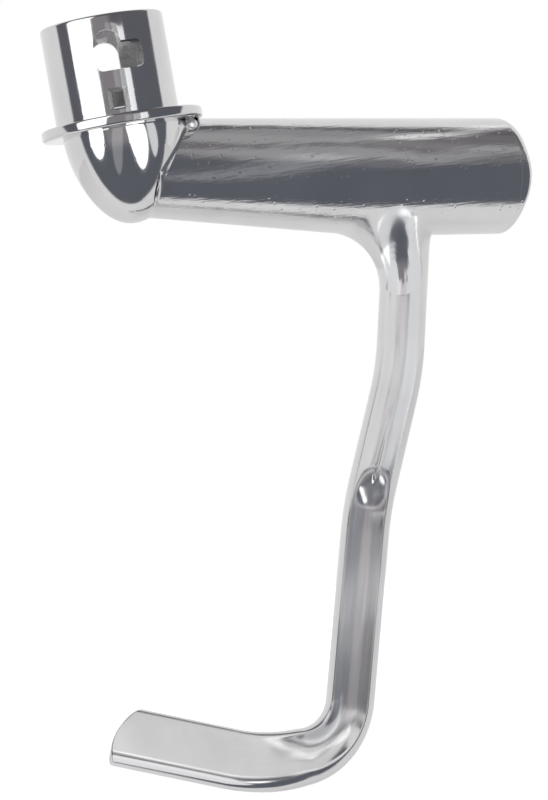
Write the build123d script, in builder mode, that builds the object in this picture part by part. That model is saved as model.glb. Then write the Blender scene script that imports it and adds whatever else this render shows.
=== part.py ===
from build123d import *
from math import cos, radians, sin
import os

# Dough hook of a small planetary mixer, in millimetres.
# The drive socket's axis is Z, its mouth is centred on the origin and the arm reaches out along +X.

# Drive socket: a turned sleeve that slides up over the mixer's planetary shaft
socket_diameter = 25.0
bore_diameter = 18.0
rim_to_collar = 20.3
rim_round = 0.7

# Bayonet windows: the shaft's cross pin rises in the entry slot and is turned into the seat beside it
pin_slot_width = 5.6
slot_top_depth = 3.2
seat_top_depth = 5.8
window_floor_depth = 11.4
entry_azimuth = -112.0
lock_turn = 20.0
window_corner_radius = 1.3
pin_groove_depth = 2.0

# Square dimple hole below the front window
dimple_azimuth = -110.0
dimple_centre_depth = 17.1
dimple_frame = 4.4
dimple_hole_width = 2.4
dimple_hole_height = 3.0
dimple_bevel_depth = 1.2

# Collar ring round the socket's lower end
collar_flange = 3.9
collar_thickness = 2.2
collar_offset = 0.7
collar_edge_chamfer = 0.35

# Knuckle: a solid bullet nose that closes the socket
knuckle_diameter = 23.2
nose_below_arm_axis = 8.95
bullet_fullness = 0.62

# Arm: a tube with a straight top line, whose underside tapers towards the knuckle
arm_overlap = 2.4
arm_slope = 7.0
arm_diameter = 24.5
arm_root_station = 3.0
arm_root_height = 20.0
arm_root_width = 18.8
arm_taper_length = 54.0
arm_length = 87.6
arm_wall = 2.0

# Plug that closes the arm's outer end
plug_flange = 3.2
plug_spigot = 4.0
plug_edge_round = 2.6

# Hook bar: its centre line runs down from the arm, jogs inwards,
# turns under the socket and sweeps up and back
shank_diameter = 10.0
shank_station = 64.1
jog_reach = 53.4
jog_depth = 79.7
scoop_inset = 13.1
scoop_drop = 27.0
corner_reach = 26.0
hook_depth = 153.9
heel_reach = 7.0
foot_length = 28.7
foot_rise = 21.9
foot_sweep = 23.8
jog_bend_radius = 60.0
scoop_bend_radius = 70.0
corner_bend_radius = 12.8
heel_bend_radius = 25.0

# Scoop pressed into the front of the bar, from its round shank to its flattened foot
scoop_start = 62.5
scoop_runout = 9.0
scoop_lip_angle = 45.0
scoop_hollow = 1.5
scoop_azimuth = -116.0
foot_width = 13.7
foot_thickness = 4.6
foot_edge_radius = 2.2
foot_face_rise = 38.0
foot_hollow = 0.15
foot_lip_angle = 60.0
closed_lip_angle = 68.0
heel_angle = 60.0
tip_cut_angle = 16.0
tip_round = 13.6
tip_bulge = 1.0

# Welds, dressed smooth
knuckle_weld_throat = 0.9
hook_weld_inner_radius = 13.0
hook_weld_side = 2.8
hook_weld_outer = 0.15
weld_feather = 0.15

overcut = 1.0

os.makedirs("parts", exist_ok=True)


def heading(azimuth, rise):
    """Unit direction at an azimuth from +X and a rise above the horizontal, in degrees."""
    level = cos(radians(rise))
    return Vector(level * cos(radians(azimuth)), level * sin(radians(azimuth)), sin(radians(rise)))


def radial_plane(azimuth):
    """Vertical plane through the socket's axis, facing out at an azimuth, with its y along +Z."""
    outward = heading(azimuth, 0)
    return Plane(origin=(0, 0, 0), x_dir=Vector(0, 0, 1).cross(outward), z_dir=outward)


# Drive socket
collar_top = -rim_to_collar
collar_floor = collar_top - collar_thickness
socket_radius = socket_diameter / 2
bore_radius = bore_diameter / 2
slot_radius = pin_slot_width / 2
straight_slot = window_floor_depth - slot_top_depth - slot_radius
dimple_plane = radial_plane(dimple_azimuth).offset(socket_radius)

with BuildPart() as drive_socket:
    with BuildSketch(Plane.XY.offset(collar_floor)):
        Circle(socket_radius)
        Circle(bore_radius, mode=Mode.SUBTRACT)
    extrude(amount=-collar_floor)
    fillet(drive_socket.edges().group_by(Axis.Z)[-1].sort_by(SortBy.RADIUS)[-1], rim_round)
    # Entry slots with arched tops, on both sides
    with BuildSketch(radial_plane(entry_azimuth)):
        with Locations((0, -window_floor_depth)):
            Rectangle(pin_slot_width, straight_slot, align=(Align.CENTER, Align.MIN))
        fillet(vertices().group_by(Axis.Y)[0], window_corner_radius)
        with Locations((0, straight_slot - window_floor_depth)):
            Circle(slot_radius)
    extrude(amount=socket_diameter, both=True, mode=Mode.SUBTRACT)
    # Pin seats, a part turn further round
    with BuildSketch(radial_plane(entry_azimuth + lock_turn)):
        with Locations((0, -seat_top_depth)):
            Rectangle(pin_slot_width, window_floor_depth - seat_top_depth, align=(Align.CENTER, Align.MAX))
        fillet(vertices(), window_corner_radius)
    extrude(amount=socket_diameter, both=True, mode=Mode.SUBTRACT)
    # Grooves inside the bore that let the pin pass from the mouth to the windows
    with BuildSketch(radial_plane(entry_azimuth)):
        Rectangle(pin_slot_width, window_floor_depth, align=(Align.CENTER, Align.MAX))
    extrude(amount=bore_radius + pin_groove_depth, both=True, mode=Mode.SUBTRACT)
    # Square dimple hole with a bevelled frame
    with BuildSketch(dimple_plane):
        with Locations((0, -dimple_centre_depth)):
            Rectangle(dimple_frame, dimple_frame)
    with BuildSketch(dimple_plane.offset(-dimple_bevel_depth)):
        with Locations((0, -dimple_centre_depth)):
            Rectangle(dimple_hole_width, dimple_hole_height)
    loft(mode=Mode.SUBTRACT)
    with BuildSketch(dimple_plane):
        with Locations((0, -dimple_centre_depth)):
            Rectangle(dimple_hole_width, dimple_hole_height)
    extrude(amount=bore_radius - socket_radius - overcut, mode=Mode.SUBTRACT)
drive_socket.part.label = "drive_socket"
export_step(drive_socket.part, "parts/drive_socket.step")

# Collar
with BuildPart() as collar:
    with BuildSketch(Plane.XY.offset(collar_floor)):
        with Locations((collar_offset, 0)):
            Circle(socket_radius + collar_flange)
        Circle(socket_radius, mode=Mode.SUBTRACT)
    extrude(amount=collar_thickness)
    rim_edges = collar.edges().filter_by(GeomType.CIRCLE).filter_by(lambda edge: edge.radius > socket_radius)
    chamfer(rim_edges, collar_edge_chamfer)
collar.part.label = "collar"
export_step(collar.part, "parts/collar.step")

# Knuckle
knuckle_radius = knuckle_diameter / 2
arm_radius = arm_diameter / 2
arm_axis_height = collar_floor - arm_radius + arm_overlap
knuckle_depth = collar_floor - arm_axis_height + nose_below_arm_axis


def knuckle_outline(growth):
    """Half outline of the bullet nose, grown outwards, in builder lines."""
    radius = knuckle_radius + growth
    depth = knuckle_depth + growth
    nose = Bezier(
        (0, collar_floor - depth),
        (radius * bullet_fullness, collar_floor - depth),
        (radius, collar_floor - depth * (1 - bullet_fullness)),
        (radius, collar_floor),
    )
    Polyline(nose @ 1, (0, collar_floor), nose @ 0)


with BuildPart() as knuckle:
    with BuildSketch(Plane.XZ):
        with BuildLine():
            knuckle_outline(0)
        make_face()
    revolve(axis=Axis.Z)
knuckle.part.label = "knuckle"
export_step(knuckle.part, "parts/knuckle.step")

# Arm tube, coped to the knuckle and to the collar's underside
arm_direction = heading(0, -arm_slope)
arm_plane = Plane(origin=(0, 0, arm_axis_height), x_dir=heading(0, 90 - arm_slope), z_dir=arm_direction)
tube_length = arm_length - plug_flange
arm_sections = [
    (arm_root_station, arm_root_width, arm_root_height),
    (arm_taper_length, arm_diameter, arm_diameter),
    (tube_length, arm_diameter, arm_diameter),
]


def arm_outlines(growth):
    """Cross sections of the arm, grown outwards, under one straight top line."""
    outlines = []
    for station, width, height in arm_sections:
        with BuildSketch(arm_plane.offset(station)) as outline:
            with Locations((arm_radius - height / 2, 0)):
                Ellipse(height / 2 + growth, width / 2 + growth)
        outlines.append(outline.sketch)
    return outlines


with BuildPart() as arm_core:
    loft(arm_outlines(0), ruled=True)

with BuildPart() as arm_tube:
    loft(arm_outlines(0), ruled=True)
    loft(arm_outlines(-arm_wall), ruled=True, mode=Mode.SUBTRACT)
    add(knuckle.part, mode=Mode.SUBTRACT)
    with BuildSketch(Plane.XY.offset(collar_floor)):
        Circle(arm_length)
    extrude(amount=arm_length, mode=Mode.SUBTRACT)
arm_tube.part.label = "arm_tube"
export_step(arm_tube.part, "parts/arm_tube.step")

# Plug of the arm's outer end
with BuildPart() as arm_end_plug:
    with BuildSketch(arm_plane.offset(tube_length)):
        Circle(arm_radius)
    extrude(amount=plug_flange)
    fillet(arm_end_plug.faces().sort_by(Axis.X)[-1].edges(), plug_edge_round)
    with BuildSketch(arm_plane.offset(tube_length - plug_spigot)):
        Circle(arm_radius - arm_wall)
    extrude(amount=plug_spigot)
arm_end_plug.part.label = "arm_end_plug"
export_step(arm_end_plug.part, "parts/arm_end_plug.step")

# Hook bar: centre line
shank_head = arm_plane.origin + arm_direction * shank_station
heel = Vector(heel_reach, 0, -hook_depth)
foot_direction = heading(180 - foot_sweep, foot_rise)
tip = heel + foot_direction * foot_length
path_end = tip + foot_direction * foot_width

with BuildLine() as hook_line:
    FilletPolyline(
        shank_head,
        (jog_reach, 0, -jog_depth),
        (jog_reach - scoop_inset, 0, -jog_depth - scoop_drop),
        (corner_reach, 0, -hook_depth),
        heel,
        path_end,
        radius=[jog_bend_radius, scoop_bend_radius, corner_bend_radius, heel_bend_radius],
    )
hook_path = hook_line.wires()[0]
run_lengths = [edge.length for edge in hook_path.edges()]
corner_start = sum(run_lengths[:5])
heel_end = sum(run_lengths[:8])
shank_radius = shank_diameter / 2


def mix(first, second, share):
    """Value between two sizes, at a share of 0 to 1."""
    return first + (second - first) * share


def ease(share):
    """Smooth step from 0 to 1."""
    held = min(max(share, 0), 1)
    return held * held * (3 - 2 * held)


def bar_plane(station):
    """Plane across the bar at a distance along its centre line, with its y out of the scoop's face."""
    flatness = ease((station - corner_start) / (heel_end - corner_start))
    along = hook_path.tangent_at(station, position_mode=PositionMode.LENGTH)
    face = heading(scoop_azimuth, foot_face_rise * flatness)
    origin = hook_path.position_at(station, position_mode=PositionMode.LENGTH)
    return Plane(origin=origin, x_dir=face.cross(along), z_dir=along)


def bar_section(station):
    """Face across the bar, always bounded by the same six arcs, so that sections match along the loft."""
    opening = min(max((station - scoop_start) / scoop_runout, 0), 1)
    flatness = ease((station - corner_start) / (heel_end - corner_start))
    half_width = mix(shank_radius, foot_width / 2, flatness)
    edge_radius = mix(shank_radius, foot_edge_radius, flatness)
    back = mix(shank_radius, foot_thickness / 2, flatness)
    hollow = mix(scoop_hollow, foot_hollow, flatness)
    full_lip = mix(scoop_lip_angle, foot_lip_angle, flatness)
    lip_angle = mix(closed_lip_angle, full_lip, (1 - (1 - opening) ** 2) ** 0.5)
    floor = mix(edge_radius, edge_radius * sin(radians(full_lip)) - hollow, ease(opening))

    def edge_point(angle):
        across = half_width - edge_radius + edge_radius * cos(radians(angle))
        return (across, edge_radius * sin(radians(angle)))

    right = [edge_point(angle) for angle in (lip_angle, lip_angle / 2, 0, -heel_angle / 2, -heel_angle)]
    left = [(-across, height) for across, height in reversed(right)]
    outline = Wire([
        ThreePointArc(*right[:3]),
        ThreePointArc(*right[2:]),
        ThreePointArc(right[-1], (0, -back), left[0]),
        ThreePointArc(*left[:3]),
        ThreePointArc(*left[2:]),
        ThreePointArc(left[-1], (0, floor), right[0]),
    ])
    return bar_plane(station) * Face(outline)


# Each span is lofted by itself: round shank, start of the scoop, scooped run, corner with the heel, and foot
scoop_end = scoop_start + scoop_runout
span_ends = [0, scoop_start, scoop_end, corner_start, heel_end, hook_path.length]
span_steps = [8, 4, 2, 10, 1]
bar_spans = []
for start, end, steps in zip(span_ends, span_ends[1:], span_steps):
    bar_spans.append([bar_section(start + (end - start) * step / steps) for step in range(steps + 1)])

foot_face = heading(scoop_azimuth, foot_face_rise)
tip_cut_size = 3 * foot_width
tip_direction = foot_direction.rotate(Axis((0, 0, 0), foot_face), -tip_cut_angle)
tip_plane = Plane(origin=tip, x_dir=tip_direction, z_dir=foot_face)

with BuildPart() as hook_bar:
    for span in bar_spans:
        loft(span)
    # Rounded end, cut on a slant across the foot's face
    with BuildSketch(tip_plane):
        Rectangle(tip_cut_size, tip_cut_size, align=(Align.MIN, Align.CENTER))
        with Locations((tip_bulge - tip_round, 0)):
            Circle(tip_round, mode=Mode.SUBTRACT)
    extrude(amount=foot_width, both=True, mode=Mode.SUBTRACT)
    add(arm_core.part, mode=Mode.SUBTRACT)
hook_bar.part.label = "hook_bar"
export_step(hook_bar.part, "parts/hook_bar.step")

# Weld between the arm and the knuckle, where grown copies of both overlap
with BuildPart() as knuckle_weld:
    with BuildSketch(Plane.XZ):
        with BuildLine():
            knuckle_outline(knuckle_weld_throat)
        make_face()
    revolve(axis=Axis.Z)
    loft(arm_outlines(knuckle_weld_throat), ruled=True, mode=Mode.INTERSECT)
    add(knuckle.part, mode=Mode.SUBTRACT)
    add(arm_core.part, mode=Mode.SUBTRACT)
knuckle_weld.part.label = "knuckle_weld"
export_step(knuckle_weld.part, "parts/knuckle_weld.step")

# Weld between the hook bar and the arm, with a wide hollow fillet on the inner side
shank_direction = (Vector(jog_reach, 0, -jog_depth) - shank_head).normalized()
weld_plane = Plane(origin=shank_head, x_dir=Vector(0, 1, 0).cross(shank_direction), z_dir=shank_direction)
weld_steps = 7
weld_shares = [(step / weld_steps) ** 2 for step in range(weld_steps + 1)]
weld_drops = [-arm_wall] + [hook_weld_inner_radius * share for share in weld_shares]

with BuildPart() as hook_weld:
    for drop in weld_drops:
        rise = hook_weld_inner_radius - max(drop, 0)
        share = 1 - (1 - (rise / hook_weld_inner_radius) ** 2) ** 0.5
        inner = shank_radius + hook_weld_inner_radius * share + weld_feather
        outer = shank_radius + hook_weld_outer * share + weld_feather
        side = shank_radius + hook_weld_side * share + weld_feather
        with BuildSketch(weld_plane.offset(arm_radius + drop)):
            with Locations(((inner - outer) / 2, 0)):
                Ellipse((inner + outer) / 2, side)
    loft(ruled=True)
    add(arm_core.part, mode=Mode.SUBTRACT)
    add(hook_bar.part, mode=Mode.SUBTRACT)
hook_weld.part.label = "hook_weld"
export_step(hook_weld.part, "parts/hook_weld.step")
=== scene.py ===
import bmesh
import bpy
import numpy as np
from mathutils import Matrix, Vector


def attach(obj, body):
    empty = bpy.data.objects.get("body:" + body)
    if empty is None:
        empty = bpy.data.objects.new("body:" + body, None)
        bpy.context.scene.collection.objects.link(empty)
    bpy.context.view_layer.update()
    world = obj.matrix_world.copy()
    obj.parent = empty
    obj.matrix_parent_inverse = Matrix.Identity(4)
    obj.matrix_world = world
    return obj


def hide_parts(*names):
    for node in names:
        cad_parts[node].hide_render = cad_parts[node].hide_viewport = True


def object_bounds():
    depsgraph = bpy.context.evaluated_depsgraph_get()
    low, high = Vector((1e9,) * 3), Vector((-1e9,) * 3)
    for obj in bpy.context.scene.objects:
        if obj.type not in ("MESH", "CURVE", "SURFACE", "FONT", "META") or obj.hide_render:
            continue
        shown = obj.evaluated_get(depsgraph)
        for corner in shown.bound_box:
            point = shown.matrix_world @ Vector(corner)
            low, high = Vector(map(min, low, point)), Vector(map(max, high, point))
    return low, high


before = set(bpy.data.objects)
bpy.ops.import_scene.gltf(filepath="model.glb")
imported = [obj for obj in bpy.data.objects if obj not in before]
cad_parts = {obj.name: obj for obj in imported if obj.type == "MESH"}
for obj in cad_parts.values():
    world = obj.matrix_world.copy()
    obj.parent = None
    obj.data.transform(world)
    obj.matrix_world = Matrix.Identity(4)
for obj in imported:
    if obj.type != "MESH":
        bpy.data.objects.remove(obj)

cad_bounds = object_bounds()

# Sizes in millimetres, in the shared frame: the socket's axis is Z and the arm reaches out along +X
MM = 0.001

SOCKET_RADIUS = 12.5
BORE_RADIUS = 9.0
COLLAR_TOP = -20.3
COLLAR_FLOOR = -22.5
COLLAR_RADIUS = 16.4
COLLAR_OFFSET = 0.7
COLLAR_BORE = 10.5
COLLAR_LAP = 0.3
COLLAR_EDGE = 0.55
COLLAR_INSET = 1.6
RIM_ROUND = 0.7
CUT_EDGE = 0.35
CUT_ANGLE = np.radians(35.0)
CUT_SEGMENTS = 3

ENTRY_AZIMUTH = np.radians(-112.0)
SEAT_AZIMUTH = np.radians(-92.0)
SLOT_HALF = 2.8
SLOT_TOP = -3.2
SEAT_TOP = -5.8
WINDOW_FLOOR = -11.4
WINDOW_CORNER = 1.3
WINDOW_REACH = 20.0
GROOVE_REACH = 11.0
GROOVE_TOP = 1.0

DIMPLE_AZIMUTH = np.radians(-110.0)
DIMPLE_HEIGHT = -17.1
DIMPLE_FRAME = 4.4
DIMPLE_HOLE = (2.4, 3.0)
DIMPLE_BEVEL = 1.2
HOLE_OVERRUN = 1.0

KNUCKLE_RADIUS = 11.6
KNUCKLE_DEPTH = 18.8
BULLET_FULLNESS = 0.62
KNUCKLE_STRETCH = 1.12
NOSE_POINT = 0.005

ARM_AXIS_HEIGHT = -32.35
ARM_SLOPE = np.radians(7.0)
ARM_RADIUS = 12.25
ARM_ROOT = 3.0
ARM_ROOT_HEIGHT = 20.0
ARM_ROOT_WIDTH = 17.4
ARM_TAPER_END = 54.0
ARM_TAPER_BLEND = 0.2
ARM_TUBE_END = 84.4
ARM_END = 87.6
ARM_END_ROUND = 3.1
ARM_END_ROUND_LOW = 0.9
ARM_END_RETREAT = 1.7
ARM_FACE_RADII = (8.5, 7.0, 5.5, 4.0, 2.5, 0.01)
SKIN_EDGE = 0.02
UNDER_COLLAR_END = 15.0
ARM_CLEARANCE = 0.01
SEAM_CLEARANCE = 0.005

# Shares at the sides of the arm's end, and their gain from there to its top
ROUND_BLEND = (0.5, 0.9)
RETREAT_BLEND = (0.12, -0.88)

SHANK_RADIUS = 5.0
SHANK_STATION = 64.1
JOG = np.array([53.4, 0.0, -79.7])
SCOOP_CORNER = np.array([40.3, 0.0, -106.7])
CORNER = np.array([26.0, 0.0, -153.9])
HEEL = np.array([7.0, 0.0, -153.9])
FOOT_AZIMUTH = np.radians(156.2)
FOOT_RISE = np.radians(21.9)
FOOT_LENGTH = 28.7
BEND_RADII = (60.0, 70.0, 12.8, 25.0)
PATH_STEP = 0.4

SCOOP_START = 62.5
SCOOP_RUNOUT = 9.0
SCOOP_LIP = 45.0
SCOOP_HOLLOW = 1.5
FACE_AZIMUTH = np.radians(-116.0)
FOOT_FACE_RISE = np.radians(38.0)
FOOT_HALF_WIDTH = 6.85
FOOT_HALF_THICKNESS = 2.3
FOOT_EDGE = 2.2
FOOT_HOLLOW = 0.0
FOOT_LIP = 80.0
FOOT_LEAD = 2.0
CLOSED_LIP = 68.0
BACK_ANGLE = 60.0
TIP_CUT = np.radians(16.0)
TIP_ROUND = 13.6
TIP_BULGE = 1.9
TIP_EDGE = 0.5
TIP_SQUEEZES = (0.5, 0.1, 0.01)
TIP_LEAST_SQUARE = 1.0
FLAT_CROSS = 1e-4
LIP_SOFTNESS = 0.3
CREASE_START = 46.0
CREASE_DEPTH = 0.6
CREASE_HALF_WIDTH = 0.32

WELD_ON_ARM = {"inner": 11.5, "side": 2.6, "outer": 0.7}
WELD_ON_SHANK = {"inner": 11.5, "side": 13.0, "outer": 1.2}
WELD_RUNOUT = 0.8
WELD_SINK = 0.06
WELD_BURY = 0.6
WELD_BASE_DROP = 30.0
WELD_NEAR_SHARE = 0.98
WELD_SHANK_PULL = 0.42
WELD_ARM_PULL = (0.08, 0.36)

SEAM_THROAT = 0.55
SEAM_THROAT_TOP = 2.4
SEAM_THIN_SHARE = 0.25
SEAM_UNDERSIDE_FROM = 0.55
SEAM_TOP_FROM = 0.5
SEAM_TOP_FULL = 0.9
SEAM_REACH = 1.2
SEAM_NEAR_SHARE = 0.95
SEAM_KNUCKLE_PULL = 0.55
SEAM_ARM_PULL = 0.66
SEAM_RUNOUT = 0.25
SEAM_BACK = 0.5
SEAM_BURY = 0.3
BEAD = (13.1, -5.4, -23.7)
BEAD_RADIUS = 1.5
BEAD_POLE = 0.01

ARM_SEARCH = 40.0
KNUCKLE_SEARCH = 30.0
SEARCH_TURNS = 50

# How finely the skins are divided
LATHE_RING = 360
ARC_STEPS = 6
ARCH_STEPS = 25
NOSE_STEPS = 97
ARM_RING = 288
ARM_ROWS = 110
CAP_STEPS = 16
BEND_STEPS = 60
EDGE_STEPS = 40
BACK_STEPS = 50
FLOOR_STEPS = 80
SECTION_POINTS = 200
FOOT_SHARES = np.linspace(0.02, 1.0, 60)
TIP_STEPS = 12
WELD_RING = 240
WELD_STEPS = 41
SEAM_STEPS = 17
BEAD_RING = 48
BEAD_STEPS = 25

# Camera, fitted to the photo: it looks level at the hook, turned from the arm and rolled about its view
VIEW_TURN = np.radians(26.0)
VIEW_ROLL = np.radians(10.0)
VIEW_DISTANCE = 705.6
FOCAL_PIXELS = 3500.0
PICTURE = np.array([548.0, 800.0])
MOUTH_PIXEL = np.array([100.5, 21.0])
SENSOR_HEIGHT = 24.0
CLIP_START = 0.01

ORIGIN = np.zeros(3)
UP = np.array([0.0, 0.0, 1.0])
AWAY = np.array([np.sin(VIEW_TURN), np.cos(VIEW_TURN), 0.0])
ACROSS = np.array([np.cos(VIEW_TURN), -np.sin(VIEW_TURN), 0.0])
QUARTER = 0.5 * np.pi


def unit(vectors):
    """Vectors scaled to length 1."""
    vectors = np.asarray(vectors, float)
    return vectors / np.linalg.norm(vectors, axis=-1, keepdims=True)


def mix(first, second, share):
    """Value between two others, at a share of 0 to 1."""
    return first + (second - first) * share


def ease(share):
    """Smooth step from 0 to 1."""
    held = np.clip(share, 0.0, 1.0)
    return held * held * (3 - 2 * held)


def heading(azimuth, rise):
    """Unit direction at an azimuth from +X and a rise above the horizontal."""
    return np.array([np.cos(rise) * np.cos(azimuth), np.cos(rise) * np.sin(azimuth), np.sin(rise)])


def bezier(points, share):
    """Points on cubic curves at a share of 0 to 1."""
    first, second, third, last = points
    rest = 1 - share
    return (rest ** 3 * first + 3 * share * rest ** 2 * second
            + 3 * share ** 2 * rest * third + share ** 3 * last)


def ring_angles(count):
    """Angles of a full turn in even steps."""
    return np.linspace(0, 2 * np.pi, count, endpoint=False)


def first_place(low, high, passed):
    """Values between two others where a test first holds, found by halving."""
    for _ in range(SEARCH_TURNS):
        middle = (low + high) / 2
        held = passed(middle)
        high = np.where(held, middle, high)
        low = np.where(held, low, middle)
    return high


# Meshes


def make_object(name, vertices, faces, smooth=True):
    """Mesh object from points in millimetres."""
    mesh = bpy.data.meshes.new(name)
    mesh.from_pydata([tuple(point) for point in np.asarray(vertices) * MM], [], faces)
    mesh.update()
    mesh.polygons.foreach_set("use_smooth", [smooth] * len(mesh.polygons))
    obj = bpy.data.objects.new(name, mesh)
    bpy.context.scene.collection.objects.link(obj)
    return obj


def grid_object(name, rows, capped=True):
    """Skin over rows that are closed rings, with capped ends or the last row joined to the first."""
    rows = np.asarray(rows, float)
    count, ring = rows.shape[:2]
    faces = []
    for row in range(count - 1 if capped else count):
        start = row * ring
        after = (row + 1) % count * ring
        for place in range(ring):
            step = (place + 1) % ring
            faces.append((start + place, start + step, after + step, after + place))
    vertices = rows.reshape(-1, 3)
    for row in (0, count - 1) if capped else ():
        hub = len(vertices)
        vertices = np.vstack([vertices, rows[row].mean(axis=0)])
        for place in range(ring):
            faces.append((row * ring + place, row * ring + (place + 1) % ring, hub))
    return outward(make_object(name, vertices, faces))


def outward(obj):
    """Turns the faces of a closed mesh outwards and returns the object."""
    bpy.context.view_layer.objects.active = obj
    obj.select_set(True)
    bpy.ops.object.mode_set(mode="EDIT")
    bpy.ops.mesh.select_all(action="SELECT")
    bpy.ops.mesh.normals_make_consistent(inside=False)
    bpy.ops.object.mode_set(mode="OBJECT")
    obj.select_set(False)
    return obj


def lathe_rows(profile, ring, centre=(0.0, 0.0)):
    """Rows of points round a vertical axis for a profile of radii and heights."""
    angles = ring_angles(ring)
    rows = []
    for radius, height in profile:
        rows.append(np.stack([
            centre[0] + radius * np.cos(angles),
            centre[1] + radius * np.sin(angles),
            np.full(ring, height),
        ], axis=1))
    return rows


def arc(centre, radius, start_angle, end_angle, steps=ARC_STEPS):
    """Points of an arc in a profile or outline."""
    angles = np.linspace(start_angle, end_angle, steps)
    return [(centre[0] + radius * np.cos(angle), centre[1] + radius * np.sin(angle)) for angle in angles]


def prism(name, outline, azimuth, reach):
    """Cutter that runs to both sides along an azimuth, from an outline of distances across and heights."""
    out = heading(azimuth, 0.0)
    side = np.cross(UP, out)
    ring = np.array([side * across + UP * height for across, height in outline])
    return grid_object(name, [ring - out * reach, ring + out * reach])


def taper_prism(name, near, near_reach, far, far_reach):
    """Four-sided cutter at the dimple that goes from one rectangle to another."""
    out = heading(DIMPLE_AZIMUTH, 0.0)
    side = np.cross(UP, out)
    corners = ((-1, -1), (1, -1), (1, 1), (-1, 1))
    rows = []
    for (width, tall), reach in ((near, near_reach), (far, far_reach)):
        centre = UP * DIMPLE_HEIGHT + out * reach
        rows.append([centre + side * x * width / 2 + UP * y * tall / 2 for x, y in corners])
    return grid_object(name, rows)


def carve(obj, cutters):
    """Cuts the cutters out of an object's mesh, rounds the edges and removes the cutters."""
    for cutter in cutters:
        cut = obj.modifiers.new("cut", "BOOLEAN")
        cut.operation = "DIFFERENCE"
        cut.solver = "EXACT"
        cut.object = cutter
    edge = obj.modifiers.new("edge", "BEVEL")
    edge.width = CUT_EDGE * MM
    edge.segments = CUT_SEGMENTS
    edge.limit_method = "ANGLE"
    edge.angle_limit = CUT_ANGLE
    edge.harden_normals = True
    view = bpy.context.evaluated_depsgraph_get()
    carved = bpy.data.meshes.new_from_object(obj.evaluated_get(view))
    obj.modifiers.clear()
    obj.data = carved
    for cutter in cutters:
        bpy.data.objects.remove(cutter)


# Drive socket


def window_corners(*corners):
    """Rounded corners of a window, each from its arc's centre and the quarter turn that it starts at."""
    points = []
    for across, height, quarter in corners:
        points += arc((across, height), WINDOW_CORNER, quarter * QUARTER, (quarter + 1) * QUARTER)
    return points


corner_across = SLOT_HALF - WINDOW_CORNER
seat_high = SEAT_TOP - WINDOW_CORNER
window_low = WINDOW_FLOOR + WINDOW_CORNER
low_corners = window_corners((-corner_across, window_low, 2), (corner_across, window_low, 3))
slot_outline = arc((0.0, SLOT_TOP - SLOT_HALF), SLOT_HALF, 0.0, np.pi, ARCH_STEPS) + low_corners
seat_outline = window_corners((corner_across, seat_high, 0), (-corner_across, seat_high, 1)) + low_corners
groove_outline = [
    (SLOT_HALF, GROOVE_TOP), (-SLOT_HALF, GROOVE_TOP),
    (-SLOT_HALF, WINDOW_FLOOR), (SLOT_HALF, WINDOW_FLOOR),
]
socket_floor = COLLAR_FLOOR + COLLAR_LAP
socket_profile = (
    [(BORE_RADIUS, socket_floor), (SOCKET_RADIUS, socket_floor)]
    + arc((SOCKET_RADIUS - RIM_ROUND, -RIM_ROUND), RIM_ROUND, 0.0, QUARTER)
    + [(BORE_RADIUS, 0.0)]
)
socket = grid_object("socket_sleeve", lathe_rows(socket_profile, LATHE_RING), capped=False)
carve(socket, [
    prism("slot_cutter", slot_outline, ENTRY_AZIMUTH, WINDOW_REACH),
    prism("seat_cutter", seat_outline, SEAT_AZIMUTH, WINDOW_REACH),
    prism("groove_cutter", groove_outline, ENTRY_AZIMUTH, GROOVE_REACH),
    taper_prism("dimple_cutter", DIMPLE_HOLE, SOCKET_RADIUS - DIMPLE_BEVEL,
                (DIMPLE_FRAME, DIMPLE_FRAME), SOCKET_RADIUS),
    taper_prism("hole_cutter", DIMPLE_HOLE, BORE_RADIUS - HOLE_OVERRUN,
                DIMPLE_HOLE, SOCKET_RADIUS + HOLE_OVERRUN),
])

# Collar

collar_rim = COLLAR_RADIUS - COLLAR_EDGE
collar_flat = (COLLAR_BORE, SOCKET_RADIUS - COLLAR_INSET, COLLAR_RADIUS - COLLAR_INSET)
collar_profile = (
    [(radius, COLLAR_FLOOR) for radius in collar_flat]
    + arc((collar_rim, COLLAR_FLOOR + COLLAR_EDGE), COLLAR_EDGE, -QUARTER, 0.0)
    + arc((collar_rim, COLLAR_TOP - COLLAR_EDGE), COLLAR_EDGE, 0.0, QUARTER)
    + [(radius, COLLAR_TOP) for radius in reversed(collar_flat)]
)
collar_rows = lathe_rows(collar_profile, LATHE_RING, (COLLAR_OFFSET, 0.0))
collar_ring = grid_object("collar_ring", collar_rows, capped=False)

# Knuckle

nose_height = COLLAR_FLOOR - KNUCKLE_DEPTH
nose_points = np.array([
    (0.0, nose_height),
    (KNUCKLE_RADIUS * BULLET_FULLNESS, nose_height),
    (KNUCKLE_RADIUS, COLLAR_FLOOR - KNUCKLE_DEPTH * (1 - BULLET_FULLNESS)),
    (KNUCKLE_RADIUS, COLLAR_FLOOR),
])
nose_curve = np.array([bezier(nose_points, share) for share in np.linspace(0, 1, NOSE_STEPS)])
nose_profile = [(max(radius, NOSE_POINT), height) for radius, height in nose_curve]
nose_profile.append((KNUCKLE_RADIUS, socket_floor))
nose_rows = np.array(lathe_rows(nose_profile, LATHE_RING))
nose_rows[..., 0] *= np.where(nose_rows[..., 0] > 0, KNUCKLE_STRETCH, 1.0)
nose = grid_object("knuckle_nose", nose_rows)

# Arm

arm_along = heading(0.0, -ARM_SLOPE)
arm_up = heading(0.0, QUARTER - ARM_SLOPE)
arm_side = np.array([0.0, 1.0, 0.0])
arm_origin = np.array([0.0, 0.0, ARM_AXIS_HEIGHT])
arm_angles = ring_angles(ARM_RING)
arm_rise = np.cos(arm_angles)


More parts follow.
